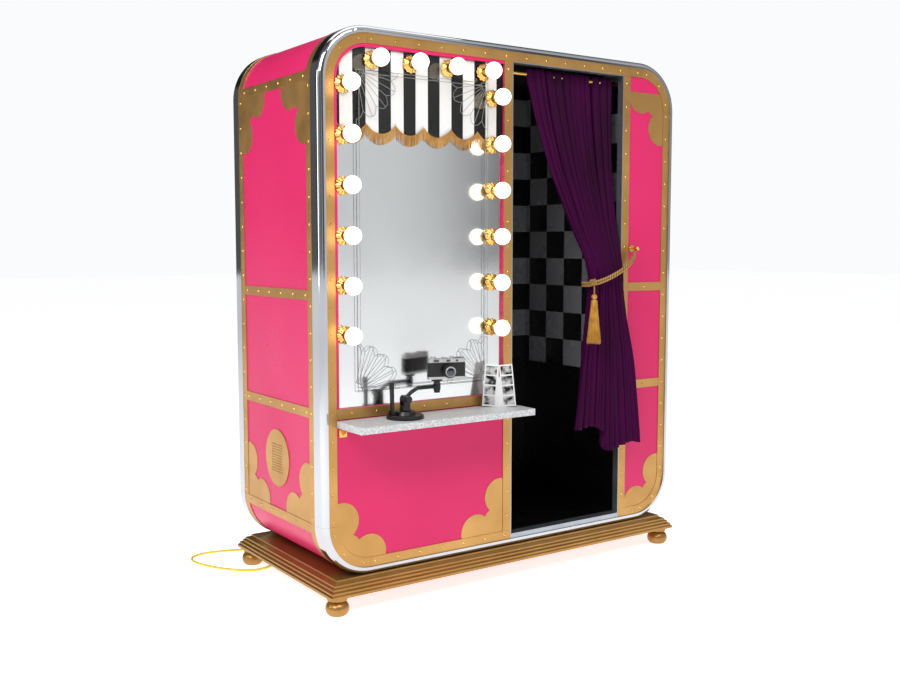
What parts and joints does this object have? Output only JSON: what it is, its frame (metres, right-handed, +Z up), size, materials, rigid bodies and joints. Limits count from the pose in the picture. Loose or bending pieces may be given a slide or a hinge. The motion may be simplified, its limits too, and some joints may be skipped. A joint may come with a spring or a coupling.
{
  "type": "photo booth",
  "caption": "Freestanding photo booth with a curtained doorway, bulb-framed mirror, counter with a camera on a swivel arm, and a rear service door.",
  "frame": {"origin": "floor level, at the middle of the bounding box without the mains lead", "axes": "+X to the right of someone facing the booth, +Y into the booth, +Z up"},
  "size_m": [1.8173, 1.1109, 2.022],
  "materials": {
    "pink_paint": "gloss lacquer on board",
    "bronzed_wood": "bronze lacquer",
    "brass": "satin",
    "chrome": "polished",
    "steel": "satin",
    "aluminium": "satin",
    "black_plastic": "matt",
    "black_board": "black laminate",
    "check_board": "grey and black check laminate",
    "velvet": "velvet",
    "gold_cord": "rayon cord",
    "striped_cloth": "satin stripes",
    "clear_pane": "clear",
    "silvered_glass": "silvered",
    "opal_globe": "opal",
    "terrazzo": "polished",
    "black_metal": "satin black",
    "camera_shell": "grained",
    "card": "gloss",
    "red_plastic": "gloss",
    "lead_sheath": "smooth",
    "lead_plug": "smooth"
  },
  "bodies": {
    "cabinet": {"plinth_moulding": "bronzed_wood", "bun_feet": "bronzed_wood", "top_and_bottom_panels": "pink_paint", "corner_panels": "pink_paint", "left_side_panel": "pink_paint", "right_side_panel": "pink_paint", "rear_panel": "pink_paint", "hinge_leaves_fixed": "brass", "lower_front_panel": "pink_paint", "right_front_panel": "pink_paint", "mirror_surround": "pink_paint", "chrome_edge_trim": "chrome", "front_straps": "brass", "body_straps": "brass", "corner_plates": "brass", "strap_rivets": "brass", "speaker_grille": "brass", "speaker_driver": "black_plastic", "cabin_floor": "black_board", "partition_wall": "check_board", "cabin_right_wall": "check_board", "cabin_back_wall": "check_board", "cabin_ceiling": "black_board", "dado_panels": "black_board", "door_frame": "aluminium", "curtain_rod": "brass", "rod_flanges": "brass", "curtain": "velvet", "tieback_rope": "gold_cord", "tieback_hook": "brass", "cover_glass": "clear_pane", "mirror_glass": "silvered_glass", "mirror_backing": "black_board", "valance": "striped_cloth", "bulb_rosettes": "brass", "globe_bulbs": "opal_globe", "counter_shelf": "terrazzo", "shelf_brackets": "brass", "arm_base": "black_metal", "photo_card": "card", "control_panel": "steel", "photo_unit": "black_metal", "cable_gland": "black_plastic", "mains_cord": "lead_sheath", "mains_coil": "lead_sheath", "mains_plug": "lead_plug"},
    "rear_door": {"service_door": "pink_paint", "hinge_leaves_door": "brass"},
    "cam": {"cam_lock": "steel"},
    "hanging_tassel": {"tassel": "gold_cord"},
    "clamp_lever": {"lock_lever": "black_metal"},
    "swivel_column": {"arm_column": "black_metal"},
    "camera_arm": {"arm_link": "black_metal"},
    "camera": {"camera_head": "black_metal", "camera_body": "camera_shell", "camera_lens": "camera_shell"},
    "focus": {"focus_ring": "black_plastic"},
    "shutter": {"shutter_button": "steel"},
    "film_advance": {"advance_lever": "steel"},
    "start": {"start_button": "red_plastic"}
  },
  "joints": [
    {"name": "service_door_hinge", "type": "hinge", "parent": "cabinet", "child": "rear_door", "pos_m": [-0.6415, 0.4203, 1], "axis": [0, 0, 1], "range_deg": [0, 110]},
    {"name": "cam_turn", "type": "hinge", "parent": "rear_door", "child": "cam", "pos_m": [-0.16, 0.417, 1], "axis": [0, -1, 0], "range_deg": [0, 90]},
    {"name": "tassel_swing", "type": "hinge", "parent": "cabinet", "child": "hanging_tassel", "pos_m": [0.291, -0.414, 1.1195], "axis": [0, 1, 0], "range_deg": [-12, 12]},
    {"name": "clamp_lever_hinge", "type": "hinge", "parent": "cabinet", "child": "clamp_lever", "pos_m": [-0.6, -0.369, 0.702], "axis": [0, 1, 0], "range_deg": [-75, 0]},
    {"name": "column_swivel", "type": "hinge", "parent": "cabinet", "child": "swivel_column", "pos_m": [-0.548, -0.369, 0.704], "axis": [0, 0, 1], "range_deg": [-60, 5]},
    {"name": "arm_tilt", "type": "hinge", "parent": "swivel_column", "child": "camera_arm", "pos_m": [-0.548, -0.369, 0.746], "axis": [0, 1, 0], "range_deg": [-30, 10]},
    {"name": "camera_pan", "type": "hinge", "parent": "camera_arm", "child": "camera", "pos_m": [-0.414, -0.369, 0.768], "axis": [0, 0, 1], "range_deg": [-35, 20]},
    {"name": "focus_turn", "type": "hinge", "parent": "camera", "child": "focus", "pos_m": [-0.38394, -0.3975, 0.836], "axis": [-0.342, -0.9397, 0], "range_deg": [-45, 45]},
    {"name": "shutter_press", "type": "slide", "parent": "camera", "child": "shutter", "axis": [0, 0, -1], "range_m": [0, 0.0022], "stiffness_N_per_m": 300},
    {"name": "advance_stroke", "type": "hinge", "parent": "camera", "child": "film_advance", "pos_m": [-0.32874, -0.3979, 0.879], "axis": [0, 0, -1], "range_deg": [0, 130], "stiffness_Nm_per_rad": 0.02},
    {"name": "start_press", "type": "slide", "parent": "cabinet", "child": "start", "axis": [-1, 0, 0], "range_m": [0, 0.004], "stiffness_N_per_m": 300}
  ]
}
